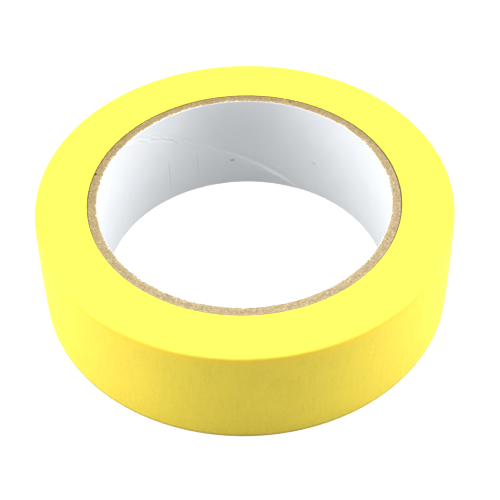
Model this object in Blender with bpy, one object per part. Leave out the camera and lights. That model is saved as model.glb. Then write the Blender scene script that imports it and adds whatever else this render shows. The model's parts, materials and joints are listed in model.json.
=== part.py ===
"""A roll of crepe masking tape wound on a spiral-wound paper core.

The roll stands on one of its side faces. The origin is the centre of that face, and +Z is the
axis of the roll. Units are metres.

The core is a stack of paper strips, each wound once round as a helix with a slanted butt seam:
a white liner, kraft chipboard plies and a thin outer wrap. The tape is wound on it in a spiral.
The last stretch of tape, up to its cut end, is a chain of short links, each hinged to the one
before it about an upright axis on the tape's outer surface, so that the end can be peeled up.
"""

import math

import bmesh
import bpy

# ---------------------------------------------------------------------------------------------
# Driving dimensions
# ---------------------------------------------------------------------------------------------

ROLL_WIDTH = 0.0305          # height of the standing roll, and the width of the tape
BORE_DIAMETER = 0.0762       # inside of the core: a three-inch core

LINER_THICKNESS = 0.00015
PLY_THICKNESS = 0.00045
PLY_COUNT = 4
WRAP_THICKNESS = 0.0002
GLUE_LINE = 0.0001           # between one layer of the core and the next
STRIP_PITCH = 0.135          # height that the core's strips climb in one turn
SEAM_GAP = 0.0003            # across a strip's butt seam
SEAM_TIP = 0.0004            # blunt end of a strip's pointed corner
LINER_SEAM_ANGLE = math.radians(65.0)   # where the liner's seam meets the bottom edge
SEAM_STAGGER = math.radians(95.0)       # from one layer's seam to the next

TAPE_THICKNESS = 0.00013
TAPE_TURNS = 101
CORE_TO_TAPE = 0.0003        # between the core's wrap and the first turn of tape
CROWN = 0.0002               # how far the middle of the tape stands proud of its edges
EDGE_ROUND = 0.0004          # radius of the wound tape's outer edges

TAIL_LINKS = 4
TAIL_LINK_LENGTH = 0.010     # along the outer surface
TAIL_FREE_ANGLE = math.radians(88.0)    # where the tape's cut end lies
TAIL_GAP = 0.0003            # between links, and between the tail and the turn under it
TAIL_INSET = 0.0001          # between the tail's edges and the roll's side faces

CORE_COLUMNS = 96            # facets round the core
TAPE_COLUMNS = 120           # facets round the tape
CROWN_ROWS = 5               # facets across the tape's outer surface, between its edges
EDGE_ROWS = 3                # facets round each of the tape's outer edges
LINK_COLUMNS = 4             # facets along one link of the tail

# ---------------------------------------------------------------------------------------------
# Sizes that follow
# ---------------------------------------------------------------------------------------------

FULL_TURN = 2.0 * math.pi
BORE_RADIUS = BORE_DIAMETER / 2.0
CORE_RADIUS = (BORE_RADIUS + LINER_THICKNESS + PLY_COUNT * (GLUE_LINE + PLY_THICKNESS)
               + GLUE_LINE + WRAP_THICKNESS)
TAPE_INNER_RADIUS = CORE_RADIUS + CORE_TO_TAPE
TAPE_OUTER_RADIUS = TAPE_INNER_RADIUS + TAPE_TURNS * TAPE_THICKNESS
HINGE_RADIUS = TAPE_OUTER_RADIUS + CROWN
LINK_ANGLE = TAIL_LINK_LENGTH / TAPE_OUTER_RADIUS
TAIL_ROOT_ANGLE = TAIL_FREE_ANGLE - TAIL_LINKS * LINK_ANGLE
HALF_GAP_ANGLE = TAIL_GAP / 2.0 / TAPE_OUTER_RADIUS
CLIMB = STRIP_PITCH / FULL_TURN         # height that a seam climbs per radian
SMALLEST_STEP = math.radians(0.2)       # columns closer than this are one column

# name, colour (linear RGB), roughness
PAPER_WHITE = ("liner_paper", (0.80, 0.82, 0.84), 0.75)
KRAFT = ("kraft_chipboard", (0.47, 0.33, 0.20), 0.90)
WRAP_GREY = ("wrap_paper", (0.55, 0.47, 0.36), 0.85)
CREPE_YELLOW = ("crepe_tape", (0.85, 0.70, 0.13), 0.60)


def clear_scene():
    """Remove whatever objects the file opened with."""
    for item in list(bpy.data.objects):
        bpy.data.objects.remove(item, do_unlink=True)


def make_material(finish):
    """Return the Principled material of one finish, made the first time it is asked for."""
    name, colour, roughness = finish
    material = bpy.data.materials.get(name)
    if material is None:
        material = bpy.data.materials.new(name)
        material.use_nodes = True
        shader = material.node_tree.nodes["Principled BSDF"]
        shader.inputs["Base Color"].default_value = (*colour, 1.0)
        shader.inputs["Roughness"].default_value = roughness
        shader.inputs["Metallic"].default_value = 0.0
    return material


def on_cylinder(radius, angle, height):
    """Return the point at this radius, angle and height."""
    return (radius * math.cos(angle), radius * math.sin(angle), height)


def make_piece(name, sections, finish, closed=False, origin=(0.0, 0.0, 0.0), parent=None):
    """Make one named solid by bridging a row of matching closed outlines.

    Each section is a list of points, in order round its outline. A closed row joins its last
    outline to its first; an open one is capped at both ends. The solid's origin is put at the
    given point, in world coordinates.
    """
    shape = bmesh.new()
    rings = []
    for section in sections:
        ring = [shape.verts.new([p - o for p, o in zip(point, origin)]) for point in section]
        rings.append(ring)
    followers = rings[1:] + rings[:1] if closed else rings[1:]
    count = len(rings[0])
    for ring, follower in zip(rings, followers):
        for i in range(count):
            j = (i + 1) % count
            shape.faces.new((ring[i], ring[j], follower[j], follower[i]))
    if not closed:
        shape.faces.new(rings[0])
        shape.faces.new(rings[-1])
    bmesh.ops.recalc_face_normals(shape, faces=shape.faces)

    mesh = bpy.data.meshes.new(name)
    shape.to_mesh(mesh)
    shape.free()
    mesh.materials.append(make_material(finish))
    mesh.shade_smooth()
    mesh.set_sharp_from_angle(angle=math.radians(35.0))

    piece = bpy.data.objects.new(name, mesh)
    bpy.context.scene.collection.objects.link(piece)
    if parent is not None:
        piece.parent = parent[0]
        piece.location = [o - p for o, p in zip(origin, parent[1])]
    else:
        piece.location = origin
    return piece


# ---------------------------------------------------------------------------------------------
# The core
# ---------------------------------------------------------------------------------------------


def columns_between(start, end, corners):
    """Return the angles of a strip's upright edges: its own corners and the shared columns."""
    step = FULL_TURN / CORE_COLUMNS
    fixed = sorted([start, end, *corners])
    shared = [k * step for k in range(math.ceil(start / step), math.floor(end / step) + 1)]
    free = [a for a in shared if all(abs(a - f) > SMALLEST_STEP for f in fixed)]
    return sorted(fixed + free)


def wound_strip(name, inner_radius, thickness, seam_angle, finish):
    """Make one layer of the core: a strip wound once round, with a slanted butt seam.

    The seam leaves the bottom edge at seam_angle and climbs anticlockwise. Under it lies the
    strip's beginning, and over it the strip's end, which started one turn earlier.
    """
    lay = math.atan(CLIMB / inner_radius)
    half_gap = SEAM_GAP / math.cos(lay) / 2.0
    start = seam_angle + (SEAM_TIP + half_gap) / CLIMB
    full_height = seam_angle + (ROLL_WIDTH + half_gap) / CLIMB
    off_bottom = seam_angle + FULL_TURN - half_gap / CLIMB
    end = seam_angle + FULL_TURN + (ROLL_WIDTH - SEAM_TIP - half_gap) / CLIMB

    outer_radius = inner_radius + thickness
    sections = []
    for angle in columns_between(start, end, [full_height, off_bottom]):
        high = min(ROLL_WIDTH, CLIMB * (angle - seam_angle) - half_gap)
        low = max(0.0, CLIMB * (angle - seam_angle - FULL_TURN) + half_gap)
        sections.append([
            on_cylinder(inner_radius, angle, low),
            on_cylinder(outer_radius, angle, low),
            on_cylinder(outer_radius, angle, high),
            on_cylinder(inner_radius, angle, high),
        ])
    return make_piece(name, sections, finish)


def make_core():
    """Wind the liner, the chipboard plies and the wrap, from the bore outwards."""
    layers = [("core_liner", LINER_THICKNESS, PAPER_WHITE)]
    layers += [(f"core_ply_{n}", PLY_THICKNESS, KRAFT) for n in range(1, PLY_COUNT + 1)]
    layers += [("core_wrap", WRAP_THICKNESS, WRAP_GREY)]
    radius = BORE_RADIUS
    for number, (name, thickness, finish) in enumerate(layers):
        wound_strip(name, radius, thickness, LINER_SEAM_ANGLE + number * SEAM_STAGGER, finish)
        radius += thickness + GLUE_LINE


# ---------------------------------------------------------------------------------------------
# The tape
# ---------------------------------------------------------------------------------------------


def crown_at(height):
    """Return how far the tape's surface stands proud of its edges at this height."""
    across = 2.0 * height / ROLL_WIDTH - 1.0
    return CROWN * (1.0 - across * across)


def tape_profile():
    """Return the wound tape's outer profile, bottom to top, as (height, offset) pairs.

    The offset is added to the tape's outer radius. The edges are rounded and the middle is
    crowned.
    """
    edge = []
    for row in range(EDGE_ROWS + 1):
        turn = math.pi / 2.0 * row / EDGE_ROWS
        height = EDGE_ROUND * (1.0 - math.cos(turn))
        edge.append((height, crown_at(height) - EDGE_ROUND * (1.0 - math.sin(turn))))
    flat = (ROLL_WIDTH - 2.0 * EDGE_ROUND) / CROWN_ROWS
    middle = [EDGE_ROUND + flat * row for row in range(1, CROWN_ROWS)]
    top = [(ROLL_WIDTH - height, offset) for height, offset in reversed(edge)]
    return edge + [(height, crown_at(height)) for height in middle] + top


def spiral_radius(angle):
    """Return the radius of the outermost turn's outer surface at this angle.

    The angle runs back up to one turn from the tape's cut end.
    """
    return TAPE_OUTER_RADIUS - TAPE_THICKNESS * (TAIL_FREE_ANGLE - angle) / FULL_TURN


def make_tape_roll():
    """Make the wound tape, with a shallow seat where the tail lies on it."""
    seat_start = TAIL_ROOT_ANGLE - HALF_GAP_ANGLE
    seat_end = TAIL_FREE_ANGLE + 2.0 * HALF_GAP_ANGLE
    wall = HALF_GAP_ANGLE / 2.0          # run of the seat's two end walls
    columns = []

    step = FULL_TURN / TAPE_COLUMNS
    round_start = seat_end + wall - FULL_TURN
    inner_count = math.floor((seat_start - round_start) / step)
    for column in range(inner_count + 1):
        angle = round_start + (seat_start - round_start) * column / inner_count
        columns.append((angle, spiral_radius(angle)))

    seat_depth = TAPE_THICKNESS + TAIL_GAP
    seat_count = max(1, round((seat_end - seat_start) / step))
    floor_start = seat_start + wall
    for column in range(seat_count + 1):
        angle = floor_start + (seat_end - floor_start) * column / seat_count
        columns.append((angle, spiral_radius(angle) - seat_depth))

    profile = tape_profile()
    sections = []
    for angle, radius in columns:
        outer = [on_cylinder(radius + offset, angle, height) for height, offset in profile]
        top = on_cylinder(TAPE_INNER_RADIUS, angle, ROLL_WIDTH)
        bottom = on_cylinder(TAPE_INNER_RADIUS, angle, 0.0)
        sections.append([*outer, top, bottom])
    return make_piece("tape_roll", sections, CREPE_YELLOW, closed=True)


def make_tape_tail():
    """Make the chain of links from the roll to the tape's cut end, each on its own hinge."""
    low = TAIL_INSET
    high = ROLL_WIDTH - TAIL_INSET
    heights = [low + (high - low) * row / CROWN_ROWS for row in range(CROWN_ROWS + 1)]
    parent = None
    for link in range(TAIL_LINKS):
        hinge_angle = TAIL_ROOT_ANGLE + link * LINK_ANGLE
        last = link == TAIL_LINKS - 1
        start = hinge_angle + HALF_GAP_ANGLE
        end = hinge_angle + LINK_ANGLE - (0.0 if last else HALF_GAP_ANGLE)
        sections = []
        for column in range(LINK_COLUMNS + 1):
            angle = start + (end - start) * column / LINK_COLUMNS
            radius = spiral_radius(angle)
            outer = [on_cylinder(radius + crown_at(z), angle, z) for z in heights]
            inner = [on_cylinder(radius + crown_at(z) - TAPE_THICKNESS, angle, z)
                     for z in reversed(heights)]
            sections.append(outer + inner)
        hinge = on_cylinder(HINGE_RADIUS, hinge_angle, ROLL_WIDTH / 2.0)
        name = f"tape_tail_{link + 1}"
        piece = make_piece(name, sections, CREPE_YELLOW, origin=hinge, parent=parent)
        parent = (piece, hinge)


def main():
    """Build the whole roll."""
    clear_scene()
    make_core()
    make_tape_roll()
    make_tape_tail()


main()
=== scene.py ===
"""A roll of yellow crepe masking tape on a spiral-wound paper core, in a plain white studio.

The roll stands on one side face. The origin is the centre of that face and +Z is the axis.
Units are metres, and angles are in radians unless a name says degrees. The tape winds
anticlockwise outwards, and its last stretch is made in short pieces, one for each hinge.
"""

import json
import logging
import math
from dataclasses import dataclass, field
from enum import Enum
from typing import Any, Callable, Optional, Union

import bpy
from mathutils import Matrix, Vector


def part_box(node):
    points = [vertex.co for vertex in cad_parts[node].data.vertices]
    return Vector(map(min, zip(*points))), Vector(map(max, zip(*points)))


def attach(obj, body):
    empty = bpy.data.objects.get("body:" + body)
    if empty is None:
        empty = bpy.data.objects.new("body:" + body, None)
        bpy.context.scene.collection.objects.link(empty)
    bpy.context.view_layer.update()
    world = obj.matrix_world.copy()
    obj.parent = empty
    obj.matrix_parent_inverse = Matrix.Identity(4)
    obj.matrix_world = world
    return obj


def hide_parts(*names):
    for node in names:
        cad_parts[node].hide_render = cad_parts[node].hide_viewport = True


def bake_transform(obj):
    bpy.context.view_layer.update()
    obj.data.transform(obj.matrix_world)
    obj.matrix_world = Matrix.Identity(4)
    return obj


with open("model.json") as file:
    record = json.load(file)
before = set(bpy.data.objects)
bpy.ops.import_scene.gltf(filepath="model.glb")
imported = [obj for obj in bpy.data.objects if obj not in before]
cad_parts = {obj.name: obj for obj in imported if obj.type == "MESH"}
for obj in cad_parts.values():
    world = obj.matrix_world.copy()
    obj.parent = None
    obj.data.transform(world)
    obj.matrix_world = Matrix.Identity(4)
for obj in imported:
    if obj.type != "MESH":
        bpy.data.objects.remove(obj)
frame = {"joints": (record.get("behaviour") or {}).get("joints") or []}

LOG = logging.getLogger("masking_tape_roll")
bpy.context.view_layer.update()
FULL_TURN = 2.0 * math.pi
MILLIMETRE = 0.001
NOMINAL_WIDTH = 0.0305
BORE_RADIUS = 0.0381
LINER_SEAM = math.radians(65.0)         # where the liner's seam meets the lower face
SEAM_CLIMB = 0.135 / FULL_TURN          # how far a seam climbs for each radian round
ROLL_BODY = "roll"
Colour = tuple[float, float, float]


# ---- Node trees written as Python expressions ----


def adds_node(operation: str, turned: bool = False) -> Callable[..., "Value"]:
    """Return a method of Value that adds one Math node.

    Args:
        operation: what the node does.
        turned: whether the number itself comes last, as in one minus it.

    Returns:
        The method.
    """
    def method(self: "Value", *others: "Number") -> "Value":
        """Add one Math node to the graph."""
        return self.graph.math(operation, *((*others, self) if turned else (self, *others)))
    return method


class Value:
    """One number in a node tree. Arithmetic on it adds Math nodes to that tree."""

    __add__, __radd__ = adds_node("ADD"), adds_node("ADD", turned=True)
    __sub__, __rsub__ = adds_node("SUBTRACT"), adds_node("SUBTRACT", turned=True)
    __mul__, __rmul__ = adds_node("MULTIPLY"), adds_node("MULTIPLY", turned=True)
    __truediv__ = adds_node("DIVIDE")
    __pow__ = adds_node("POWER")
    __gt__ = adds_node("GREATER_THAN")      # one where it holds, and nought elsewhere
    __lt__ = adds_node("LESS_THAN")
    at_least = adds_node("MAXIMUM")
    at_most = adds_node("MINIMUM")
    sine = adds_node("SINE")
    cosine = adds_node("COSINE")

    def __init__(self, graph: "Graph", socket: bpy.types.NodeSocket) -> None:
        """Wrap one output socket of the graph."""
        self.graph = graph
        self.socket = socket

    def __neg__(self) -> "Value":
        """Change sign."""
        return self * -1.0

    def root(self) -> "Value":
        """Return the square root, with anything below nought taken as nought."""
        return self.graph.math("SQRT", self.at_least(0.0))

    def bell(self, width: float) -> "Value":
        """Return a bump that is one at nought and fades over this width."""
        return self.graph.math("EXPONENT", -((self / width) * (self / width)))

    def step(self, low: float, high: float) -> "Value":
        """Return a smooth rise from nought at low to one at high."""
        made = self.graph.node(
            "ShaderNodeMapRange", {"interpolation_type": "SMOOTHSTEP"},
            {"Value": self, "From Min": low, "From Max": high})
        return self.graph.value(made)


Number = Union[float, Value]


@dataclass
class Graph:
    """A node tree under construction."""

    tree: bpy.types.NodeTree

    def node(self, kind: str, settings: Optional[dict[str, Any]] = None,
             values: Optional[dict[str, Any]] = None) -> bpy.types.Node:
        """Add one node.

        Args:
            kind: the node's type.
            settings: its properties, such as an operation, which are set first.
            values: a number, link or Value for each of its input sockets, by name.

        Returns:
            The new node.
        """
        made = self.tree.nodes.new(kind)
        for name, setting in (settings or {}).items():
            setattr(made, name, setting)
        for name, value in (values or {}).items():
            self.feed(next(s for s in made.inputs if s.name == name and s.enabled), value)
        return made

    def feed(self, socket: bpy.types.NodeSocket, value: Any) -> None:
        """Link a socket to a Value or another socket, or set it to a constant."""
        if isinstance(value, Value):
            self.tree.links.new(value.socket, socket)
        elif isinstance(value, bpy.types.NodeSocket):
            self.tree.links.new(value, socket)
        else:
            socket.default_value = value

    def value(self, node: bpy.types.Node, name: str = "") -> Value:
        """Return a node's output of this name, or its first one, as a Value."""
        return Value(self, self.out(node, name))

    @staticmethod
    def out(node: bpy.types.Node, name: str = "") -> bpy.types.NodeSocket:
        """Return a node's output socket of this name, or its first one."""
        return next(s for s in node.outputs if s.enabled and name in ("", s.name))

    def math(self, operation: str, *numbers: Number) -> Value:
        """Add one Math node on these numbers."""
        made = self.tree.nodes.new("ShaderNodeMath")
        made.operation = operation
        for socket, number in zip(made.inputs, numbers):
            self.feed(socket, number)
        return self.value(made)

    def vector(self, x: Number, y: Number, z: Number) -> bpy.types.NodeSocket:
        """Return a vector made of three numbers."""
        return self.out(self.node("ShaderNodeCombineXYZ", None, {"X": x, "Y": y, "Z": z}))

    def parts(self, vector: bpy.types.NodeSocket) -> tuple[Value, Value, Value]:
        """Return the three numbers of a vector."""
        made = self.node("ShaderNodeSeparateXYZ", None, {"Vector": vector})
        return self.value(made, "X"), self.value(made, "Y"), self.value(made, "Z")

    def noise(self, place: bpy.types.NodeSocket, detail: float = 2.0,
              roughness: float = 0.5) -> Value:
        """Return fractal noise about one half at a place given in noise cells."""
        made = self.node("ShaderNodeTexNoise", None,
                         {"Vector": place, "Scale": 1.0, "Detail": detail,
                          "Roughness": roughness})
        return self.value(made)


class Surface(Graph):
    """The shader tree of one material, with a Principled shader."""

    def __init__(self, material: bpy.types.Material) -> None:
        """Start from the material's own shader."""
        super().__init__(material.node_tree)
        self.shader = material.node_tree.nodes["Principled BSDF"]

    def own(self, name: str) -> bpy.types.NodeSocket:
        """Return a vector attribute that the piece's mesh carries."""
        return self.out(self.node("ShaderNodeAttribute", {"attribute_name": name}), "Vector")

    def own_number(self, name: str) -> Value:
        """Return a number attribute that the piece's mesh carries."""
        return self.value(self.node("ShaderNodeAttribute", {"attribute_name": name}), "Fac")

    def place(self) -> bpy.types.NodeSocket:
        """Return the Object coordinates."""
        return self.out(self.node("ShaderNodeTexCoord"), "Object")

    def scaled(self, vector: bpy.types.NodeSocket, by: Colour) -> bpy.types.NodeSocket:
        """Return a vector times another."""
        made = self.node("ShaderNodeVectorMath", {"operation": "MULTIPLY"})
        self.feed(made.inputs[0], vector)
        self.feed(made.inputs[1], by)
        return self.out(made)

    def grain(self, vector: bpy.types.NodeSocket, cells: Colour, detail: float = 2.0,
              roughness: float = 0.5) -> Value:
        """Return noise with this many cells to the metre along each axis of a vector."""
        return self.noise(self.scaled(vector, cells), detail, roughness)

    def mixed(self, share: Number, first: Any, second: Any) -> bpy.types.NodeSocket:
        """Return a colour between two colours or colour sockets."""
        made = self.node("ShaderNodeMix", {"data_type": "RGBA"}, {"Factor": share})
        for socket, colour in ((made.inputs[6], first), (made.inputs[7], second)):
            self.feed(socket, (*colour, 1.0) if isinstance(colour, tuple) else colour)
        return self.out(made)

    def bumped(self, height: Value, distance: float, strength: float) -> None:
        """Raise the surface by a height of nought to one times a distance."""
        made = self.node("ShaderNodeBump", None, {
            "Height": height, "Distance": distance, "Strength": strength})
        self.feed(self.shader.inputs["Normal"], self.out(made))

    def constants(self, **values: float) -> None:
        """Set plain sockets of the shader; an underscore stands for a space."""
        for name, value in values.items():
            self.shader.inputs[name.replace("_", " ")].default_value = value

    def coloured(self, colour: bpy.types.NodeSocket, roughness: Value) -> None:
        """Give the shader its colour and roughness."""
        self.feed(self.shader.inputs["Base Color"], colour)
        self.feed(self.shader.inputs["Roughness"], roughness)


# ---- Marks on the liner, which its shape and its finish share ----


@dataclass(frozen=True)
class Fold:
    """A groove pressed or folded into the liner, between two places on it."""

    start: tuple[float, float]      # degrees round the bore, and millimetres up it
    end: tuple[float, float]
    width: float                    # millimetres
    depth: float                    # millimetres; a ridge has a depth below nought
    painted_shade: float = 0.0              # how much painted shade darkens it, from 0 to 1


@dataclass(frozen=True)
class Dent:
    """A small hole or dent in the liner with a raised lip."""

    place: tuple[float, float]      # degrees round the bore, and millimetres up it
    width: float                    # millimetres
    depth: float                    # millimetres
    painted_shade: float                    # how much painted shade darkens it, from 0 to 1


@dataclass(frozen=True)
class LinerRelief:
    """The liner's seam ledge, wrinkles, creases and dents."""

    radius: float = BORE_RADIUS
    seam: float = LINER_SEAM
    climb: float = SEAM_CLIMB
    moulded: float = 0.50           # the share of the relief that the mesh carries
    ledge: float = 0.58             # how far the seam's edge stands in, in millimetres
    folds: tuple[Fold, ...] = (
        Fold((145.0, 29.2), (137.0, 28.4), 0.42, -0.06),
        Fold((139.0, 28.8), (131.4, 25.1), 0.38, -0.085, 0.10),
        Fold((131.2, 26.1), (125.6, 23.7), 0.34, -0.065, 0.08),
        Fold((126.0, 24.4), (121.6, 21.9), 0.32, -0.055, 0.06),
        Fold((122.9, 23.3), (116.4, 18.7), 0.36, -0.080, 0.10),
        Fold((120.5, 22.3), (116.2, 20.0), 0.32, -0.065, 0.06),
        Fold((116.8, 20.0), (111.6, 17.2), 0.42, -0.045),
        Fold((123.8, 15.6), (123.3, 0.4), 0.25, 0.055, 0.20),
        Fold((110.4, 15.2), (110.0, 1.6), 0.32, 0.032, 0.06),
        Fold((47.0, 30.2), (38.0, 26.5), 0.9, 0.05),
    )
    dents: tuple[Dent, ...] = (
        Dent((94.9, 8.9), 0.62, 0.26, 0.85),
        Dent((98.3, 6.7), 0.36, 0.05, 0.04),
        Dent((58.5, 11.6), 0.75, 0.08, 0.40),
        Dent((115.4, 8.0), 0.35, 0.04, 0.05),
        Dent((34.0, 0.6), 0.50, 0.12, 0.25),
    )

    @staticmethod
    def facing(angle: Value) -> Value:
        """Return a wound angle as one between -115 and 245 degrees."""
        return angle - (angle > math.radians(245.0)) * FULL_TURN

    def along_fold(self, fold: Fold, run: Value, rise: Value) -> tuple[Value, Value, float]:
        """Return a place's reach along a fold, its distance aside, and which side is low."""
        x0, x1 = (math.radians(p[0]) * self.radius / MILLIMETRE for p in (fold.start, fold.end))
        z0, z1 = fold.start[1], fold.end[1]
        length = math.hypot(x1 - x0, z1 - z0)
        ux, uz = (x1 - x0) / length, (z1 - z0) / length
        along = (run - x0) * ux + (rise - z0) * uz
        aside = (run - x0) * uz - (rise - z0) * ux
        reach = along.step(-0.4, 0.25 * length) * (1.0 - along.step(0.55 * length, length))
        return reach, aside, 1.0 if ux < 0.0 else -1.0

    def away(self, dent: Dent, run: Value, rise: Value) -> Value:
        """Return how far a place is from the middle of a dent."""
        x0 = math.radians(dent.place[0]) * self.radius / MILLIMETRE
        return ((run - x0) ** 2.0 * 0.55 + (rise - dent.place[1]) ** 2.0 * 1.3).root()

    def inward(self, graph: Graph, angle: Value, height: Value) -> Value:
        """Return how far the liner stands in towards the axis, in millimetres."""
        face = self.facing(angle)
        run, rise = face * (self.radius / MILLIMETRE), height / MILLIMETRE
        lay = math.atan(self.climb / self.radius)
        off = (rise - (face - self.seam) * (self.climb / MILLIMETRE)) * math.cos(lay)
        wander = graph.noise(graph.vector(run * 0.35, rise * 0.35, 3.0), 1.0) - 0.5
        off = off + wander * 0.5
        # Below the seam the strip's end stands in, and above it lies a shallow hollow. Both
        # are plain near the lower face and fade to a trace by half the roll's height.
        strength = 0.09 + (1.0 - rise.step(7.5, 14.0)) * (0.35 + rise.step(0.5, 5.0) * 0.56)
        hollow = (off - 0.75).bell(0.65) * (rise.step(0.8, 5.0) * 0.30 + 0.10)
        inward = ((1.0 - off.step(-0.45, 0.40)) * off.at_most(0.0).bell(6.0) - hollow) \
            * strength * self.ledge
        for fold in self.folds:
            reach, aside, low = self.along_fold(fold, run, rise)
            lip = (aside * low - 1.5 * fold.width).bell(fold.width)
            inward = inward - (aside.bell(fold.width) - lip * 0.5) * reach * fold.depth
        for dent in self.dents:
            away = self.away(dent, run, rise)
            inward = inward - away.bell(dent.width * 0.6) * dent.depth \
                + (away - dent.width * 1.6).bell(0.45 * dent.width) * (0.25 * dent.depth)
        return inward

    def painted_shade(self, angle: Value, height: Value) -> Value:
        """Return how much painted shade a place gets, from nought to one."""
        run = self.facing(angle) * (self.radius / MILLIMETRE)
        rise = height / MILLIMETRE
        # Painted shade along the folds and in the dents.
        painted_shade = rise * 0.0
        for fold in self.folds:
            if fold.painted_shade:
                reach, aside, _ = self.along_fold(fold, run, rise)
                painted_shade = painted_shade + aside.bell(0.55 * fold.width) * reach * fold.painted_shade
        for dent in self.dents:
            painted_shade = painted_shade + self.away(dent, run, rise).bell(dent.width * 0.62) * dent.painted_shade
        return painted_shade.at_most(1.0)


# ---- Finishes ----


@dataclass(frozen=True)
class Finish:
    """A material of the roll, made the first time that it is asked for."""

    name: str
    slot: str

    def material(self) -> bpy.types.Material:
        """Return the material of this finish."""
        found = bpy.data.materials.get(self.name)
        if found is None:
            found = bpy.data.materials.new(self.name)
            found.use_nodes = True
            self.dress(Surface(found))
        return found

    def dress(self, surface: Surface) -> None:
        """Build the finish's nodes."""
        raise NotImplementedError


@dataclass(frozen=True)
class CrepePaper(Finish):
    """The yellow backing: paper creped across its width, with a soft sheen."""

    name: str = "yellow_crepe"
    slot: str = "crepe_tape"
    crest: Colour = (0.895, 0.725, 0.046)
    valley_shade_and_tone: Colour = (0.820, 0.630, 0.030)
    faded: Colour = (0.905, 0.715, 0.038)
    top_band: Colour = (0.950, 0.660, 0.022)
    gap_shade: Colour = (0.300, 0.245, 0.030)
    top_band_height: float = NOMINAL_WIDTH - 0.0015
    top_band_reach: float = 0.0010
    gap_shade_reach: tuple[float, float] = (0.00030, 0.00170)      # up from the lower face

    def dress(self, surface: Surface) -> None:
        """Paint shade into the creping's valleys, mottle the dye and roughen the crests."""
        lay = surface.own("lay")
        crepe = surface.own_number("crepe")
        height = surface.parts(lay)[1]
        fibres = surface.grain(lay, (3900.0, 2500.0, 1.0), 3.0, 0.6)
        streaks = surface.grain(lay, (1900.0, 800.0, 1.0))
        clouds = surface.grain(lay, (130.0, 130.0, 1.0))
        # The creping's valleys take a painted shade; the streaks and fibres mottle the paper's
        # own tone.
        shade = crepe * 0.16 + streaks * 0.38 + fibres * 0.46
        tone = surface.mixed(shade.step(0.30, 0.66), self.valley_shade_and_tone, self.crest)
        tone = surface.mixed(clouds.step(0.48, 0.72) * 0.7, tone, self.faded)
        # A deeper orange band just below the top edge.
        top_band = (height - self.top_band_height).bell(self.top_band_reach)
        tone = surface.mixed(top_band * 0.75, tone, self.top_band)
        # Painted contact shadow along the lower face, in the gap where the tape meets the
        # table.
        gap_shade = 1.0 - height.step(*self.gap_shade_reach)
        tone = surface.mixed(gap_shade * (0.60 + streaks * 0.5), tone, self.gap_shade)
        surface.coloured(tone, 0.62 + fibres * 0.16 - crepe * 0.05)
        surface.bumped(fibres * 0.6 + streaks * 0.4, 0.00004, 0.40)
        surface.constants(Specular_IOR_Level=0.6, Sheen_Weight=0.05, Sheen_Roughness=0.4)


@dataclass(frozen=True)
class SlitEdge(Finish):
    """The slit edges of the wound tape: one ring for each turn, a little matt."""

    name: str = "slit_edge"
    slot: str = "crepe_tape"
    ring: Colour = (0.895, 0.745, 0.064)
    pale: Colour = (0.905, 0.770, 0.082)
    dark: Colour = (0.820, 0.640, 0.048)
    first_turns_shade: Colour = (0.300, 0.220, 0.018)
    inner_radius: float = 0.04066
    first_turns_shade_reach: float = 0.00014      # out from the first turn
    first_turns_shade_nicks: float = 0.0005       # how far that reach wanders

    def dress(self, surface: Surface) -> None:
        """Vary the tone from turn to turn, and paint shade on the turns next to the core, most
        at the back.
        """
        lay = surface.own("lay")
        turn = surface.own_number("turn")
        length = surface.parts(lay)[0]
        rings = surface.noise(surface.vector(turn * 0.9, length * 6.0, 3.0), 3.0, 0.6)
        place = surface.place()
        nicks = surface.grain(place, (2600.0, 2600.0, 900.0))
        clouds = surface.grain(place, (60.0, 60.0, 60.0))
        tone = surface.mixed(rings.step(0.35, 0.72) * 0.55, self.ring, self.pale)
        tone = surface.mixed(nicks.step(0.60, 0.80) * 0.30, tone, self.dark)
        x, y, _ = surface.parts(place)
        # Painted shade on the first turns next to the core, strongest at the back.
        out = (x * x + y * y).root() - self.inner_radius
        back = (y + x.bell(0.02) * 0.004).step(-0.030, 0.018)
        near = 1.0 - (out + (nicks - 0.5) * self.first_turns_shade_nicks).step(0.0, self.first_turns_shade_reach)
        tone = surface.mixed(near * (0.08 + back * 0.72), tone, self.first_turns_shade)
        surface.coloured(tone, 0.62 + clouds * 0.15)
        surface.bumped(rings * 0.5 + nicks * 0.5, 0.00004, 0.35)
        surface.constants(Specular_IOR_Level=0.3)


@dataclass(frozen=True)
class Adhesive(Finish):
    """The sticky side of the tape: the yellow seen through a glossy, streaked coat."""

    name: str = "adhesive_side"
    slot: str = "crepe_tape"
    clear: Colour = (0.86, 0.70, 0.16)
    thick: Colour = (0.74, 0.57, 0.13)

    def dress(self, surface: Surface) -> None:
        """Streak the coat along the tape, as it was spread."""
        lay = surface.own("lay")
        spread = surface.grain(lay, (60.0, 1300.0, 1.0), 3.0)
        beads = surface.grain(lay, (2300.0, 2300.0, 1.0))
        surface.coloured(surface.mixed(spread.step(0.3, 0.7), self.clear, self.thick),
                         0.22 + beads * 0.22)
        surface.bumped(spread * 0.5 + beads * 0.5, 0.00003, 0.4)


class Tone(Enum):
    """How the chipboard of one ply looks: the shade of the pulp that it was made from."""

    STRAW = (0.425, 0.352, 0.184)
    FAWN = (0.405, 0.326, 0.180)
    ROSY = (0.388, 0.292, 0.172)


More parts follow.
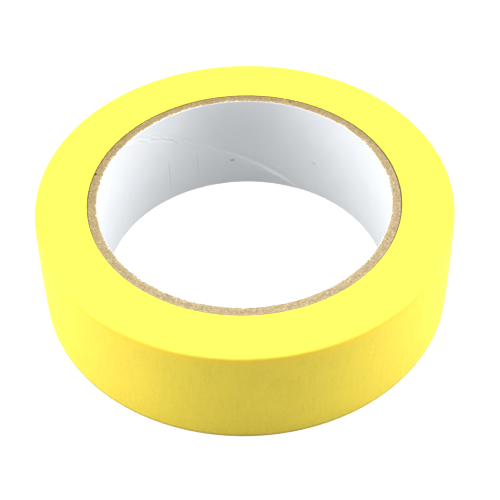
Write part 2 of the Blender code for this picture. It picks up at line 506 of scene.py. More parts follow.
@dataclass(frozen=True)
class Chipboard(Finish):
    """Kraft chipboard, made from waste paper, with flecks in its pulp and a painted shade along
    its outer rim.
    """

    name: str = "kraft_chipboard_ply"
    slot: str = "kraft_chipboard"
    tone: Tone = Tone.FAWN
    pale_fleck: Colour = (0.62, 0.52, 0.33)
    rosy_fleck: Colour = (0.50, 0.30, 0.22)
    dark_fleck: Colour = (0.13, 0.085, 0.05)
    back_shade: Colour = (0.80, 0.75, 0.62)     # multiplies the tone towards the back: painted shade
    rim_shade: Colour = (0.110, 0.080, 0.024)
    rim_shade_radii: tuple[float, float] = (0.04022, 0.04044)

    def dress(self, surface: Surface) -> None:
        """Scatter flecks over a cloudy, fibrous pulp, and paint shade towards the back and
        along the rim there.
        """
        place = surface.place()
        pulp = surface.grain(place, (1500.0, 1500.0, 2600.0), 4.0, 0.65)
        pale = surface.grain(place, (2050.0, 1950.0, 3000.0))
        rosy = surface.grain(place, (1250.0, 1350.0, 2000.0))
        dark = surface.grain(place, (2900.0, 2700.0, 2700.0), 1.0)
        wide = surface.grain(place, (190.0, 190.0, 190.0))
        x, y, _ = surface.parts(place)
        back_shaded = (y * 0.9 - x * 0.35).step(-0.036, 0.040)     # painted shade, darker towards the back
        base = self.tone.value
        shade = tuple(0.70 * part for part in base)
        tint = surface.mixed(pulp.step(0.35, 0.60), shade, base)
        tint = surface.mixed(pale.step(0.53, 0.68) * 0.70, tint, self.pale_fleck)
        tint = surface.mixed(rosy.step(0.54, 0.70) * 0.60, tint, self.rosy_fleck)
        tint = surface.mixed(dark.step(0.64, 0.76) * 0.80, tint, self.dark_fleck)
        tint = surface.mixed(wide.step(0.5, 0.8) * 0.25, tint, shade)
        tint = surface.mixed(back_shaded, tint, surface.scaled(tint, self.back_shade))
        # Painted shade along the outer rim, at the back.
        out = (x * x + y * y).root() + (dark - 0.5) * 0.0003
        back = (y + pulp * 0.02).step(-0.012, 0.014)
        tint = surface.mixed(out.step(*self.rim_shade_radii) * back * 0.72, tint, self.rim_shade)
        surface.coloured(tint, 0.86 + pulp * 0.1)
        surface.bumped(pulp, 0.00008, 0.6)
        surface.constants(Specular_IOR_Level=0.15)


@dataclass(frozen=True)
class WrapPaper(Finish):
    """The thin greyish paper round the outside of the chipboard."""

    name: str = "grey_wrap_paper"
    slot: str = "wrap_paper"
    base: Colour = (0.47, 0.41, 0.29)
    dark: Colour = (0.25, 0.20, 0.11)
    gap_shade: Colour = (0.085, 0.060, 0.014)

    def dress(self, surface: Surface) -> None:
        """Cloud the paper, let the pulp show, and paint shade over all of it but the front."""
        place = surface.place()
        pulp = surface.grain(place, (2200.0, 2200.0, 3200.0), 3.0)
        clouds = surface.grain(place, (230.0, 230.0, 230.0))
        share = (pulp * 0.6 + clouds * 0.4).step(0.40, 0.66)
        tone = surface.mixed(share, self.dark, self.base)
        x, y, _ = surface.parts(place)
        # Painted shade over the whole wrap but its front.
        gap_shade = (y + x.bell(0.02) * 0.004).step(-0.040, 0.010) * 0.95
        surface.coloured(surface.mixed(gap_shade, tone, self.gap_shade), 0.84 + pulp * 0.1)
        surface.bumped(pulp, 0.00005, 0.5)
        surface.constants(Specular_IOR_Level=0.2)


@dataclass(frozen=True)
class LinerPaper(Finish):
    """The bright white liner inside the bore, a touch blue, with painted shade in its creases
    and dents.
    """

    name: str = "white_liner_paper"
    slot: str = "liner_paper"
    base: Colour = (0.685, 0.704, 0.719)
    cool: Colour = (0.664, 0.689, 0.717)
    warm: Colour = (0.695, 0.689, 0.688)
    edge_highlight: Colour = (0.920, 0.900, 0.870)
    crease_shade: Colour = (0.270, 0.255, 0.250)
    edge_highlight_heights: tuple[float, float] = (NOMINAL_WIDTH - 0.00020, NOMINAL_WIDTH - 0.00002)
    tooth: float = 0.0175               # the paper's own roughness, in millimetres
    relief: LinerRelief = LinerRelief()

    def dress(self, surface: Surface) -> None:
        """Cloud the white, crease it, paint shade into its creases and dents, and paint a
        highlight on the torn edge.
        """
        lay = surface.own("lay")
        run, height, _ = surface.parts(lay)
        angle = run / self.relief.radius
        fibres = surface.grain(lay, (3300.0, 3300.0, 1.0), 4.0, 0.6)
        clouds = surface.grain(lay, (150.0, 150.0, 1.0))
        tints = surface.grain(lay, (75.0, 90.0, 1.0))
        tone = surface.mixed(clouds.step(0.35, 0.70) * 0.8, self.base, self.cool)
        tone = surface.mixed(tints.step(0.52, 0.75) * 0.6, tone, self.warm)
        # Painted shade in the creases and dents.
        tone = surface.mixed(self.relief.painted_shade(angle, height), tone, self.crease_shade)
        # Painted highlight along the torn top edge, where it catches the light from above.
        cut = (height + fibres * 0.0002).step(*self.edge_highlight_heights)
        tone = surface.mixed(cut, tone, self.edge_highlight)
        surface.coloured(tone, 0.50 + fibres * 0.18)
        creases = self.relief.inward(surface, angle, height) * (1.0 - self.relief.moulded)
        tooth = (fibres * 0.6 + clouds * 0.4) * self.tooth
        surface.bumped(creases + tooth, MILLIMETRE, 1.0)
        surface.constants(Specular_IOR_Level=0.32)


@dataclass(frozen=True)
class Fuzz(Finish):
    """Loose paper fibres that the slitting knife pulled out of the core."""

    name: str = "paper_fuzz"
    slot: str = "kraft_chipboard"
    pale: Colour = (0.56, 0.47, 0.32)
    rosy: Colour = (0.46, 0.34, 0.23)

    def dress(self, surface: Surface) -> None:
        """Vary the tone from fibre to fibre."""
        each = surface.grain(surface.place(), (650.0, 650.0, 650.0), 1.0)
        surface.coloured(surface.mixed(each.step(0.42, 0.62), self.pale, self.rosy),
                         0.8 + each * 0.1)


# ---- Geometry Nodes: strips wound round the axis ----


class Facing(Enum):
    """Which way a strip's thickness goes from the sheet that shows."""

    OUTWARD = -1.0      # the sheet is the outer surface, and the thickness lies inside it
    INWARD = 1.0        # the sheet is the inner surface, and the thickness lies outside it


class Shaping(Graph):
    """A Geometry Nodes tree with named number inputs."""

    def __init__(self, name: str, sizes: dict[str, float]) -> None:
        """Start a tree.

        Args:
            name: the tree's name.
            sizes: its inputs, each with its size.
        """
        super().__init__(bpy.data.node_groups.new(name, "GeometryNodeTree"))
        self.sizes = sizes
        self.identifiers: dict[str, str] = {}
        for label, size in sizes.items():
            socket = self.tree.interface.new_socket(
                name=label, in_out="INPUT", socket_type="NodeSocketFloat")
            socket.default_value = size
            self.identifiers[label] = socket.identifier
        self.tree.interface.new_socket(
            name="Geometry", in_out="OUTPUT", socket_type="NodeSocketGeometry")
        self.entry = self.tree.nodes.new("NodeGroupInput")

    def size(self, label: str) -> Value:
        """Return one of the tree's inputs."""
        return Value(self, self.entry.outputs[label])

    def shape(self, kind: str, geometry: bpy.types.NodeSocket,
              settings: Optional[dict[str, Any]] = None, **values: Any) -> bpy.types.Node:
        """Add a node that takes geometry in its first socket.

        Args:
            kind: the node's type.
            geometry: what it works on.
            settings: its properties.
            **values: its other sockets; an underscore stands for a space.

        Returns:
            The new node.
        """
        named = {label.replace("_", " "): value for label, value in values.items()}
        made = self.node(kind, settings, named)
        self.feed(made.inputs[0], geometry)
        return made

    def stored(self, geometry: bpy.types.NodeSocket, label: str, value: Any,
               kind: str = "FLOAT") -> bpy.types.NodeSocket:
        """Store a number or vector on every point under a name."""
        return self.out(self.shape(
            "GeometryNodeStoreNamedAttribute", geometry, {"data_type": kind},
            Name=label, Value=value))

    def dressed(self, geometry: bpy.types.NodeSocket, material: bpy.types.Material,
                where: Any = True) -> bpy.types.NodeSocket:
        """Give faces a material."""
        return self.out(self.shape("GeometryNodeSetMaterial", geometry,
                                   Selection=where, Material=material))

    def finished(self, geometry: bpy.types.NodeSocket, name: str) -> bpy.types.Object:
        """Run the tree on a new object and keep the result as a plain mesh.

        Args:
            geometry: the tree's last geometry.
            name: the piece's name.

        Returns:
            The piece, with no modifier on it.
        """
        leave = self.tree.nodes.new("NodeGroupOutput")
        self.feed(leave.inputs[0], geometry)
        piece = bpy.data.objects.new(name, bpy.data.meshes.new(name + "_seed"))
        bpy.context.scene.collection.objects.link(piece)
        winding = piece.modifiers.new("Shaping", "NODES")
        winding.node_group = self.tree
        for label, size in self.sizes.items():
            winding[self.identifiers[label]] = size
        graph = bpy.context.evaluated_depsgraph_get()
        mesh = bpy.data.meshes.new_from_object(piece.evaluated_get(graph))
        piece.modifiers.clear()
        seed, piece.data = piece.data, mesh
        bpy.data.meshes.remove(seed)
        mesh.name = name
        LOG.info("%s: %d faces", name, len(mesh.polygons))
        return piece


@dataclass
class Sheet:
    """Where the points of a strip's sheet go, as numbers in the tree."""

    angle: Value
    radius: Value
    height: Value
    along: Value
    notes: dict[str, Value] = field(default_factory=dict)


@dataclass(frozen=True)
class WoundStrip:
    """A strip of paper or tape wound round the axis, made as one closed shell."""

    name: str
    columns: int
    rows: int
    start: float
    end: float
    thickness: float
    facing: Facing = Facing.OUTWARD
    layers: int = 1
    cut_roughness: float = 0.0

    def sizes(self) -> dict[str, float]:
        """Return the tree's inputs."""
        return {"Start angle": self.start, "End angle": self.end,
                "Thickness": self.thickness, "Cut roughness": self.cut_roughness}

    def sheet(self, tree: Shaping, across: Value, up: Value) -> Sheet:
        """Return where the sheet's points go.

        Args:
            tree: the tree that the numbers are in.
            across: from nought at the strip's start to one at its end.
            up: from nought at its bottom edge to one at its top edge.

        Returns:
            The sheet.
        """
        raise NotImplementedError

    def angle(self, tree: Shaping, across: Value) -> Value:
        """Return the angle of a column."""
        start = tree.size("Start angle")
        return start + (tree.size("End angle") - start) * across

    def shell(self, tree: Shaping, sheet: bpy.types.NodeSocket
              ) -> tuple[bpy.types.NodeSocket, Value]:
        """Give the sheet its thickness.

        Args:
            tree: the tree.
            sheet: the bare sheet, which faces outwards.

        Returns:
            The closed shell, and where its hidden side is.
        """
        depth = tree.size("Thickness") * (self.facing.value / self.layers)
        body, far = sheet, True
        for _ in range(self.layers):
            grown = tree.shape("GeometryNodeExtrudeMesh", body, Selection=far,
                               Offset_Scale=depth, Individual=False)
            body, far = tree.out(grown, "Mesh"), tree.out(grown, "Top")
        return self.closed(tree, sheet, body), Value(tree, far)

    def closed(self, tree: Shaping, sheet: bpy.types.NodeSocket,
               body: bpy.types.NodeSocket) -> bpy.types.NodeSocket:
        """Join the sheet to what grew from it, all facing outwards."""
        if self.facing is Facing.OUTWARD:
            body = tree.out(tree.shape("GeometryNodeFlipFaces", body))
        else:
            sheet = tree.out(tree.shape("GeometryNodeFlipFaces", sheet))
        joined = tree.node("GeometryNodeJoinGeometry")
        tree.feed(joined.inputs[0], sheet)
        tree.feed(joined.inputs[0], body)
        merged = tree.shape("GeometryNodeMergeByDistance", tree.out(joined), Distance=2e-7)
        return tree.out(merged)

    def frayed(self, tree: Shaping, shell: bpy.types.NodeSocket, top: Number
               ) -> bpy.types.NodeSocket:
        """Move the points of the cut edges up and down a little, as a knife leaves them."""
        place = tree.out(tree.node("GeometryNodeInputPosition"))
        x, y, z = tree.parts(place)
        edge = (z > top - 0.02 * MILLIMETRE) - (z < 0.02 * MILLIMETRE)
        rough = tree.noise(tree.vector(x * 1700.0, y * 1700.0, z * 300.0), 2.0, 0.7)
        lift = edge * (rough - 0.62) * tree.size("Cut roughness")
        return tree.out(tree.shape("GeometryNodeSetPosition", shell,
                                   Offset=tree.vector(0.0, 0.0, lift)))

    def make(self, shown: Finish, hidden: Optional[Finish] = None, top: float = 0.0
             ) -> bpy.types.Object:
        """Build the strip.

        Args:
            shown: the finish of the sheet and the edges.
            hidden: the finish of the far side, where it differs.
            top: the height of a rough-cut top edge, where there is one.

        Returns:
            The piece.
        """
        tree = Shaping(self.name + "_shaping", self.sizes())
        grid = tree.node("GeometryNodeMeshGrid", None, {
            "Size X": 1.0, "Size Y": 1.0,
            "Vertices X": self.columns + 1, "Vertices Y": self.rows + 1})
        place = tree.parts(tree.out(tree.node("GeometryNodeInputPosition")))
        sheet = self.sheet(tree, place[0] + 0.5, place[1] + 0.5)
        body = tree.stored(tree.out(grid), "lay",
                           tree.vector(sheet.along, sheet.height, 0.0), "FLOAT_VECTOR")
        for label, note in sheet.notes.items():
            body = tree.stored(body, label, note)
        point = tree.vector(sheet.radius * sheet.angle.cosine(),
                            sheet.radius * sheet.angle.sine(), sheet.height)
        body = tree.out(tree.shape("GeometryNodeSetPosition", body, Position=point))
        body, far = self.shell(tree, body)
        if self.cut_roughness:
            body = self.frayed(tree, body, top)
        sharp = tree.value(tree.node("GeometryNodeInputMeshEdgeAngle")) > math.radians(38.0)
        body = tree.out(tree.shape("GeometryNodeSetShadeSmooth", body, {"domain": "EDGE"},
                                   Selection=sharp, Shade_Smooth=False))
        body = tree.out(tree.node("GeometryNodeRealizeInstances", None, {"Geometry": body}))
        body = tree.dressed(body, shown.material())
        if hidden is not None:
            body = tree.dressed(body, hidden.material(), far)
        return tree.finished(body, self.name)


# ---- The core ----


@dataclass(frozen=True)
class CoreStrip(WoundStrip):
    """One layer of the core: a strip wound once round, with a slanted seam."""

    width: float = NOMINAL_WIDTH
    radius: float = BORE_RADIUS
    seam: float = 0.0
    climb: float = SEAM_CLIMB
    seam_gap: float = 0.0003            # below nought where the ends overlap

    def sizes(self) -> dict[str, float]:
        """Return the tree's inputs."""
        return {**super().sizes(), "Width": self.width, "Radius": self.radius,
                "Seam angle": self.seam, "Climb": self.climb, "Seam gap": self.seam_gap}

    def wave(self, tree: Shaping, angle: Value, height: Value) -> Number:
        """Return how far the sheet stands in towards the axis."""
        return 0.0

    def spare(self, tree: Shaping, angle: Value) -> Number:
        """Return how far the top edge stands above the cut."""
        return 0.0

    def sheet(self, tree: Shaping, across: Value, up: Value) -> Sheet:
        """Return where the sheet's points go: between two slanted edges, cut off level."""
        angle = self.angle(tree, across)
        climb, half_gap = tree.size("Climb"), tree.size("Seam gap") * 0.5
        climbed = climb * (angle - tree.size("Seam angle"))
        high = (climbed - half_gap).at_most(tree.size("Width") + self.spare(tree, angle))
        low = (climbed - climb * FULL_TURN + half_gap).at_least(0.0)
        height = low + (high - low).at_least(0.00002) * up
        radius = tree.size("Radius")
        return Sheet(angle, radius - self.wave(tree, angle, height), height, angle * radius)


@dataclass(frozen=True)
class LinerStrip(CoreStrip):
    """The liner: it waves a little, and the knife left its top edge torn in places."""

    relief: LinerRelief = LinerRelief()
    tears: tuple[tuple[float, float, float], ...] = (
        (112.2, 1.3, 0.62), (108.6, 0.8, 0.30), (117.5, 0.7, 0.26), (124.5, 1.0, 0.34),
        (129.0, 0.6, 0.28), (144.5, 0.9, 0.42), (151.0, 0.8, 0.36), (156.5, 1.0, 0.44),
        (163.0, 0.8, 0.30), (99.0, 0.7, 0.24), (41.0, 0.9, 0.30),
    )                                   # degrees round, width in degrees, millimetres up

    def angle(self, tree: Shaping, across: Value) -> Value:
        """Return the angle of a column: closer together near the seam, at both ends."""
        third, span = 0.36, math.radians(92.0)
        start, end = tree.size("Start angle"), tree.size("End angle")
        first = (across / third).at_most(1.0) * span
        last = ((across - 1.0 + third) / third).at_least(0.0) * span
        middle = ((across - third) / (1.0 - 2.0 * third)).at_least(0.0).at_most(1.0)
        return start + first + middle * (end - start - 2.0 * span) + last

    def spare(self, tree: Shaping, angle: Value) -> Number:
        """Return how far the torn edge stands above the cut."""
        run = angle * (self.radius / MILLIMETRE)
        fuzz = tree.noise(tree.vector(run * 2.4, 0.0, 4.0), 3.0, 0.8)
        height = (fuzz - 0.56).at_least(0.0) * 1.5 - 0.03
        face = self.relief.facing(angle) / math.radians(1.0)
        for place, width, rise in self.tears:
            height = height + (face - place).bell(width) * (fuzz + 0.25) * rise
        return height * MILLIMETRE

    def wave(self, tree: Shaping, angle: Value, height: Value) -> Number:
        """Return how far the liner stands in towards the axis."""
        run, rise = angle * (self.radius / MILLIMETRE), height / MILLIMETRE
        wide = tree.noise(tree.vector(run * 0.11, rise * 0.11, 7.0), 1.0)
        near = tree.noise(tree.vector(run * 0.5, rise * 0.5, 2.0), 2.0)
        inward = self.relief.inward(tree, angle, height) * self.relief.moulded
        inward = inward + (wide - 0.5) * 0.16 + (near - 0.5) * 0.025
        return (inward + 0.03) * MILLIMETRE


@dataclass(frozen=True)
class Fibres:
    """Small slivers of torn paper on the core's top edge."""

    name: str
    finish: Finish
    count: int
    radius: float                       # the middle of the band that they lie in
    spread: float                       # how far they lie from it, at most
    length: float                       # the length of the longest
    fan: float                          # how far they turn from pointing outwards, at most
    seed: int

    def make(self, height: float) -> bpy.types.Object:
        """Scatter the slivers at this height, in clumps.

        Args:
            height: the height of the core's top edge.

        Returns:
            The piece.
        """
        tree = Shaping(self.name + "_shaping", {
            "Height": height + 0.00003, "Radius": self.radius, "Spread": self.spread,
            "Length": self.length, "Fan": self.fan})

        def chance(low: float, high: float, step: int) -> Value:
            """Return a random number for each sliver."""
            return tree.value(tree.node("FunctionNodeRandomValue", {"data_type": "FLOAT"}, {
                "Min": low, "Max": high, "Seed": self.seed + step}))

        angle = chance(0.0, FULL_TURN, 0)
        out = tree.size("Radius") + tree.size("Spread") * chance(-1.0, 1.0, 1)
        place = tree.vector(out * angle.cosine(), out * angle.sine(), tree.size("Height"))
        points = tree.node("GeometryNodePoints", None,
                           {"Count": self.count, "Position": place})
        sliver = tree.node("GeometryNodeMeshCone", None, {
            "Vertices": 4, "Radius Top": 0.0, "Radius Bottom": 0.0001, "Depth": 1.0})
        turn = angle + 0.5 * math.pi + tree.size("Fan") * chance(-1.0, 1.0, 3)
        rotation = tree.node("FunctionNodeEulerToRotation", None,
                             {"Euler": tree.vector(chance(1.35, 1.62, 2), 0.0, turn)})
        clump = tree.noise(tree.vector(angle.cosine() * 6.0, angle.sine() * 6.0, 5.0), 2.0)
        reach = tree.size("Length") * chance(0.15, 1.0, 4) ** 1.5 \
            * (0.25 + clump.step(0.40, 0.62))
        placed = tree.shape("GeometryNodeInstanceOnPoints", tree.out(points),
                            Instance=tree.out(sliver), Rotation=tree.out(rotation),
                            Scale=tree.vector(1.0, 1.0, reach))
        body = tree.out(tree.node("GeometryNodeRealizeInstances", None,
                                  {"Geometry": tree.out(placed)}))
        return tree.finished(tree.dressed(body, self.finish.material()), self.name)


def settle(piece: bpy.types.Object, slot: str, *nodes: str) -> None:
    """Put a finished piece on the roll, and hide the CAD parts that it stands in for."""
    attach(piece, ROLL_BODY)
    if nodes:
        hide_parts(*nodes)


@dataclass(frozen=True)
class PaperCore:
    """The paper core: white liner, four chipboard plies, wrap, and what the knife left."""

    width: float
    bore_radius: float = BORE_RADIUS
    liner_room: float = 0.00015         # what the CAD gives the liner
    liner_thickness: float = 0.00008
    ply_thickness: float = 0.00045
    wrap_thickness: float = 0.00009     # its inner half: the tape takes the rest
    glue_line: float = 0.0001
    filled: float = 0.00004             # how far each ply swells into the glue lines
    seam_tip: float = 0.0004            # how wide the points of a strip are cut off
    liner_overlap: float = 0.0003
    ply_gap: float = 0.00016
    wrap_gap: float = 0.0002
    stagger: float = math.radians(95.0)
    climb: float = SEAM_CLIMB
    tones: tuple[Tone, ...] = (Tone.STRAW, Tone.FAWN, Tone.ROSY, Tone.FAWN)

    def strip(self, kind: type[CoreStrip], name: str, number: int, gap: float,
              **sizes: Any) -> CoreStrip:
        """Return one layer of the core.

        Args:
            kind: the liner's kind or the plain one.
            name: the piece's name.
            number: which layer it is, from nought at the bore, which places its seam.
            gap: the gap at its seam.
            **sizes: its other fields.

        Returns:
            The strip, ready to make.
        """
        seam = LINER_SEAM + number * self.stagger
        start = seam + (self.seam_tip + 0.5 * gap) / self.climb
        end = seam + FULL_TURN + (self.width - self.seam_tip - 0.5 * gap) / self.climb
        return kind(name=name, start=start, end=end, facing=Facing.INWARD, width=self.width,
                    seam=seam, climb=self.climb, seam_gap=gap, **sizes)

    def make_liner(self) -> None:
        """Wind the liner, with its wrinkles and dents."""
        finish = LinerPaper()
        strip = self.strip(LinerStrip, "liner", 0, -self.liner_overlap, columns=740, rows=60,
                           thickness=self.liner_thickness, radius=self.bore_radius)
        settle(strip.make(finish), finish.slot, "core_liner")

    def make_plies(self) -> None:
        """Wind the four chipboard plies, each with its own tone."""
        radius = self.bore_radius + self.liner_room + self.glue_line
        for number, tone in enumerate(self.tones, start=1):
            finish = Chipboard(f"chipboard_{tone.name.lower()}", tone=tone)
            inner = self.filled + (self.glue_line if number == 1 else 0.0)
            strip = self.strip(CoreStrip, f"ply_{number}", number, self.ply_gap,
                               columns=1100, rows=1, layers=3, cut_roughness=0.00034,
                               thickness=self.ply_thickness + self.filled + inner,
                               radius=radius - inner)
            settle(strip.make(finish, top=self.width), finish.slot, f"core_ply_{number}")
            radius += self.ply_thickness + self.glue_line

    def make_wrap(self) -> None:
        """Wind the thin wrap round the plies."""
        finish = WrapPaper()
        plies = len(self.tones)
        radius = self.bore_radius + self.liner_room + self.glue_line \
            + plies * (self.ply_thickness + self.glue_line) - self.filled
        strip = self.strip(CoreStrip, "outer_wrap", plies + 1, self.wrap_gap,
                           columns=900, rows=1, cut_roughness=0.0002,
                           thickness=self.wrap_thickness + self.filled, radius=radius)
        settle(strip.make(finish, top=self.width), finish.slot, "core_wrap")

    def make_fibres(self) -> None:
        """Scatter torn fibres along the liner's top edge and over the cut plies."""
        white = Fuzz("white_fuzz", "liner_paper", (0.90, 0.86, 0.76), (0.74, 0.60, 0.50))
        edge = Fibres("edge_fibres", white, count=1500, radius=self.bore_radius + 0.00006,
                      spread=0.00006, length=0.00075, fan=0.9, seed=11)
        cut = Fibres("cut_fibres", Fuzz(), count=700, radius=self.bore_radius + 0.00135,
                     spread=0.00115, length=0.00030, fan=math.pi, seed=23)
        for fibres in (edge, cut):
            settle(fibres.make(self.width), fibres.finish.slot)

    def make(self) -> None:
        """Build the whole core."""
        self.make_liner()
        self.make_plies()
        self.make_wrap()
        self.make_fibres()


# ---- The tape ----


@dataclass(frozen=True)
class TapeSizes:
    """The sizes of the wound tape that its pieces share."""

    width: float
    inner_radius: float = 0.04105
    turns: int = 101
    pitch: float = 0.00013
    free_angle: float = math.radians(88.0)
    link_length: float = 0.010
    links: int = 4
    crown: float = 0.0002
    edge_round: float = 0.0010
    creping: float = 0.000012

    @property
    def outer_radius(self) -> float:
        """The radius at the tape's cut end."""
        return self.inner_radius + self.turns * self.pitch

    @property
    def link_angle(self) -> float:
        """The angle of one link of the tail."""
        return self.link_length / self.outer_radius

    @property
    def root_angle(self) -> float:
        """The angle where the tail starts."""
        return self.free_angle - self.links * self.link_angle


@dataclass(frozen=True)
class TapeStrip(WoundStrip):
    """A stretch of the tape, wound as a spiral that grows by one pitch a turn."""

    tape: TapeSizes = TapeSizes(NOMINAL_WIDTH)
    relief: float = 0.0             # the height of the creping
    unevenness: float = 0.0         # how far turns stand up or down from their neighbours
    ragged: float = 0.0             # how far the cut end wanders

    def sizes(self) -> dict[str, float]:
        """Return the tree's inputs."""
        return {**super().sizes(), "Width": self.tape.width,
                "Outer radius": self.tape.outer_radius, "Pitch": self.tape.pitch,
                "Free angle": self.tape.free_angle, "Crown": self.tape.crown,
                "Edge radius": self.tape.edge_round, "Crepe relief": self.relief,
                "Unevenness": self.unevenness, "Ragged end": self.ragged}

    def crepe(self, tree: Shaping, along: Value, height: Value) -> Value:
        """Return the creping at a place on the tape, from nought in a valley to one."""
        broad = tree.noise(tree.vector(along * 1300.0, height * 330.0, 0.5), 2.0, 0.6)
        fine = tree.noise(tree.vector(along * 2900.0, height * 560.0, 4.5), 1.0)
        return (broad * 0.6 + fine * 0.4).step(0.28, 0.72)

    def corner_drop(self, tree: Shaping, turns_in: Value) -> Value:
        """Return how far the wound tape's rounded corner lies below its side face."""
        corner = tree.size("Edge radius")
        inset = (corner - tree.size("Pitch") * (turns_in + 0.2)).at_least(0.0)
        return corner - (corner * corner - inset * inset).root()

    def shell(self, tree: Shaping, sheet: bpy.types.NodeSocket
              ) -> tuple[bpy.types.NodeSocket, Value]:
        """Give the sheet its thickness, and slope its edges to the rounded corner."""
        grown = tree.shape("GeometryNodeExtrudeMesh", sheet, Individual=False,
                           Offset_Scale=tree.size("Thickness") * -1.0)
        far = tree.out(grown, "Top")
        turn = tree.value(tree.node("GeometryNodeInputNamedAttribute",
                                    {"data_type": "FLOAT"}, {"Name": "turn"}))
        height = tree.parts(tree.out(tree.node("GeometryNodeInputPosition")))[2]
        level = height / tree.size("Width") * 2.0 - 1.0
        rise = self.corner_drop(tree, turn) - self.corner_drop(tree, turn + 1.0)
        moved = tree.shape("GeometryNodeSetPosition", tree.out(grown, "Mesh"),
                           Selection=far, Offset=tree.vector(0.0, 0.0, rise * level))
        return self.closed(tree, sheet, tree.out(moved)), Value(tree, far)

    def sheet(self, tree: Shaping, across: Value, up: Value) -> Sheet:
        """Return where the sheet's points go on the spiral."""
        angle = self.angle(tree, across)
        pitch, width = tree.size("Pitch"), tree.size("Width")
        turns_in = (tree.size("Free angle") - angle) / FULL_TURN
        radius = tree.size("Outer radius") - pitch * turns_in
        corner = tree.size("Edge radius")
        drop = self.corner_drop(tree, turns_in)
        share = up if self.rows == 1 else 0.5 - (up * math.pi).cosine() * 0.5
        uneven = tree.noise(tree.vector(turns_in * 0.8, 0.0, 1.5), 3.0, 0.7) - 0.5
        height = drop + (width - drop * 2.0) * share + uneven * tree.size("Unevenness")
        along = (angle - tree.size("Free angle")) * tree.size("Outer radius")
        notes = {"turn": turns_in}
        if self.rows > 1:
            level = height / width * 2.0 - 1.0
            to_edge = height.at_most(width - height)
            short = (corner - to_edge).at_least(0.0)
            rounding = corner - (corner * corner - short * short).root()
            crepe = self.crepe(tree, along, height)
            radius = radius + tree.size("Crown") * (1.0 - level * level) - rounding \
                + (crepe - 0.5) * tree.size("Crepe relief")
            notes["crepe"] = crepe
        if self.ragged:
            wander = tree.noise(tree.vector(height * 700.0, 0.0, 9.5), 3.0, 0.7) - 0.5
            angle = angle + wander * across.step(0.9, 1.0) * tree.size("Ragged end") \
                / tree.size("Outer radius")
        return Sheet(angle, radius, height, along, notes)


@dataclass(frozen=True)
class TapeWinding:
    """The wound tape: every turn but the last stretch that peels."""

    tape: TapeSizes
    columns_a_turn: int = 120
    strip_share: float = 0.95       # of the pitch that a wound turn's thickness takes
    snug_turns: int = 3             # turns that take up the model's slack round the core

    def make_inner_turns(self) -> None:
        """Wind every turn under the last one, from the core's wrap out."""
        tape = self.tape
        turns = tape.turns - 2 + self.snug_turns
        end = tape.root_angle - FULL_TURN
        finish = SlitEdge()
        strip = TapeStrip("inner_turns", turns * self.columns_a_turn, 1,
                          end - turns * FULL_TURN, end, tape.pitch * self.strip_share,
                          tape=tape, unevenness=0.00007)
        settle(strip.make(finish), finish.slot, "tape_roll")

    def make_outer_turn(self) -> None:
        """Wind the last full turn, whose creping shows."""
        tape = self.tape
        finish = CrepePaper()
        strip = TapeStrip("outer_turn", 2280, 18, tape.root_angle - FULL_TURN,
                          tape.root_angle, tape.pitch * self.strip_share,
                          tape=tape, relief=tape.creping)
        settle(strip.make(finish), finish.slot)

    def make(self) -> None:
        """Build the whole winding."""
        self.make_inner_turns()
        self.make_outer_turn()


@dataclass(frozen=True)
class PeelTail:
    """The last stretch of the tape, in short pieces from hinge to hinge."""

    tape: TapeSizes
    joints: tuple[dict[str, Any], ...]
    strip_share: float = 0.85       # of the pitch, so that the tail lies just clear
    ragged_end: float = 0.00030

    def make(self) -> None:
        """Build each piece from its hinge to the next."""
        tape = self.tape
        finish, sticky = CrepePaper(), Adhesive()
        hinges = [Vector(joint["pos_m"]) for joint in self.joints]
        reach = tape.outer_radius + tape.crown
        hinges.append(Vector((reach * math.cos(tape.free_angle),
                              reach * math.sin(tape.free_angle), hinges[0].z)))
        for number, joint in enumerate(self.joints):
            start = tape.root_angle + number * tape.link_angle
            last = number == len(self.joints) - 1
            strip = TapeStrip(f"tail_stretch_{number + 1}", 68, 18, start,
                              start + tape.link_angle, tape.pitch * self.strip_share,
                              tape=tape, relief=tape.creping,
                              ragged=self.ragged_end if last else 0.0)
            piece = strip.make(finish, sticky)
            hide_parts(f"tape_tail_{number + 1}")
            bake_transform(piece)


# ---- The studio ----


@dataclass(frozen=True)
class SoftLight:
    """A large soft light aimed at the roll."""

    name: str
    place: Colour
    size: tuple[float, float]
    power: float
    aim: Colour = (0.0, 0.0, 0.015)

    def make(self) -> None:
        """Hang the light."""
        data = bpy.data.lights.new(self.name, "AREA")
        data.shape = "RECTANGLE"
        data.size, data.size_y = self.size
        data.energy = self.power
        lamp = bpy.data.objects.new(self.name, data)
        lamp.location = self.place
        direction = Vector(self.aim) - Vector(self.place)
        lamp.rotation_euler = direction.to_track_quat("-Z", "Y").to_euler()
        lamp.visible_camera = False
        bpy.context.scene.collection.objects.link(lamp)


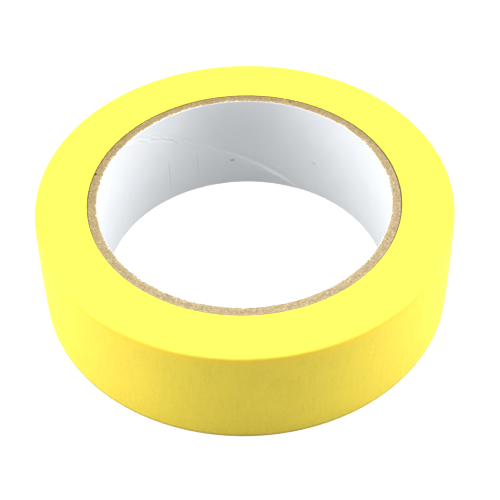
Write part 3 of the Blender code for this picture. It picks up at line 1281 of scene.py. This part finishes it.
@dataclass(frozen=True)
class Studio:
    """The camera, the white table and the lights."""

    distance: float = 0.39757
    elevation: float = math.radians(47.24)
    pan: float = 0.0031
    tilt: float = 0.0187
    roll: float = -0.0202
    lens: float = 104.576
    surround: float = 0.03          # how strongly the white surround lights the roll
    table_glow: float = 1.12
    table_share: float = 0.90       # of that glow in what the camera sees of the table
    table_reach: float = 30.0
    table_level: float = -0.00003
    lights: tuple[SoftLight, ...] = (
        SoftLight("overhead", (0.0, 0.12, 0.75), (0.55, 0.45), 3.5),
        SoftLight("canopy", (0.0, -0.24, 0.50), (0.45, 0.30), 1.05),
        SoftLight("left", (-0.62, 0.00, 0.29), (0.5, 0.5), 6.25),
        SoftLight("right", (0.62, 0.05, 0.29), (0.5, 0.5), 6.5),
        SoftLight("back", (0.0, 0.8, 0.45), (0.5, 0.3), 0.8),
    )

    def make_camera(self) -> None:
        """Set up the camera: aimed from its own height at the roll, then turned a little."""
        place = Vector((0.0, -math.cos(self.elevation), math.sin(self.elevation))) \
            * self.distance
        ahead = -place.normalized()
        right = Vector((1.0, 0.0, 0.0))
        upward = right.cross(ahead)
        ahead = (ahead * math.cos(self.pan) * math.cos(self.tilt)
                 + right * math.sin(self.pan) + upward * math.sin(self.tilt)).normalized()
        right = ahead.cross(Vector((0.0, 0.0, 1.0))).normalized()
        upward = right.cross(ahead)
        across = right * math.cos(self.roll) + upward * math.sin(self.roll)
        upward = upward * math.cos(self.roll) - right * math.sin(self.roll)
        data = bpy.data.cameras.new("camera")
        data.lens, data.sensor_width = self.lens, 36.0
        data.clip_start, data.clip_end = 0.01, 100.0
        camera = bpy.data.objects.new("camera", data)
        camera.matrix_world = Matrix((
            (across.x, upward.x, -ahead.x, place.x),
            (across.y, upward.y, -ahead.y, place.y),
            (across.z, upward.z, -ahead.z, place.z),
            (0.0, 0.0, 0.0, 1.0)))
        bpy.context.scene.collection.objects.link(camera)
        bpy.context.scene.camera = camera

    def make_table(self) -> None:
        """Lay the white table that the roll stands on."""
        material = bpy.data.materials.new("white_table")
        material.use_nodes = True
        surface = Surface(material)
        surface.shader.inputs["Base Color"].default_value = (0.55, 0.55, 0.55, 1.0)
        surface.constants(Roughness=0.9, Specular_IOR_Level=0.0)
        seen = surface.value(surface.node("ShaderNodeLightPath"), "Is Camera Ray")
        glow = surface.node("ShaderNodeEmission", None,
                            {"Color": (1.0, 1.0, 1.0, 1.0), "Strength": self.table_glow})
        mixed = surface.node("ShaderNodeMixShader")
        surface.feed(mixed.inputs[0], seen * self.table_share)
        surface.feed(mixed.inputs[1], surface.shader.outputs[0])
        surface.feed(mixed.inputs[2], glow.outputs[0])
        surface.feed(surface.tree.nodes["Material Output"].inputs["Surface"],
                     mixed.outputs[0])
        reach, level = self.table_reach, self.table_level
        mesh = bpy.data.meshes.new("table")
        mesh.from_pydata([(-reach, -reach, level), (reach, -reach, level),
                          (reach, reach, level), (-reach, reach, level)], [], [(0, 1, 2, 3)])
        mesh.materials.append(material)
        table = bpy.data.objects.new("table", mesh)
        bpy.context.scene.collection.objects.link(table)

    def make_surround(self) -> None:
        """Surround the scene with an even white that looks bright and lights softly."""
        world = bpy.data.worlds.new("surround")
        world.use_nodes = True
        bpy.context.scene.world = world
        graph = Graph(world.node_tree)
        seen = graph.value(graph.node("ShaderNodeLightPath"), "Is Camera Ray")
        background = world.node_tree.nodes["Background"]
        background.inputs["Color"].default_value = (1.0, 1.0, 1.0, 1.0)
        graph.feed(background.inputs["Strength"], self.surround + seen * (1.0 - self.surround))

    def make(self) -> None:
        """Build the studio."""
        self.make_camera()
        self.make_table()
        self.make_surround()
        for light in self.lights:
            light.make()
        bpy.context.scene.view_settings.view_transform = "Standard"
        LOG.info("studio: camera, table and %d lights", len(self.lights))


# ---- The whole roll ----


def main() -> None:
    """Build the studio, the core, the wound tape and its tail."""
    logging.basicConfig(level=logging.INFO, format="%(name)s %(message)s")
    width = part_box("tape_roll")[1].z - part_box("tape_roll")[0].z
    tape = TapeSizes(width)
    Studio().make()
    PaperCore(width).make()
    TapeWinding(tape).make()
    PeelTail(tape, tuple(frame["joints"])).make()


if __name__ == "__main__":
    main()
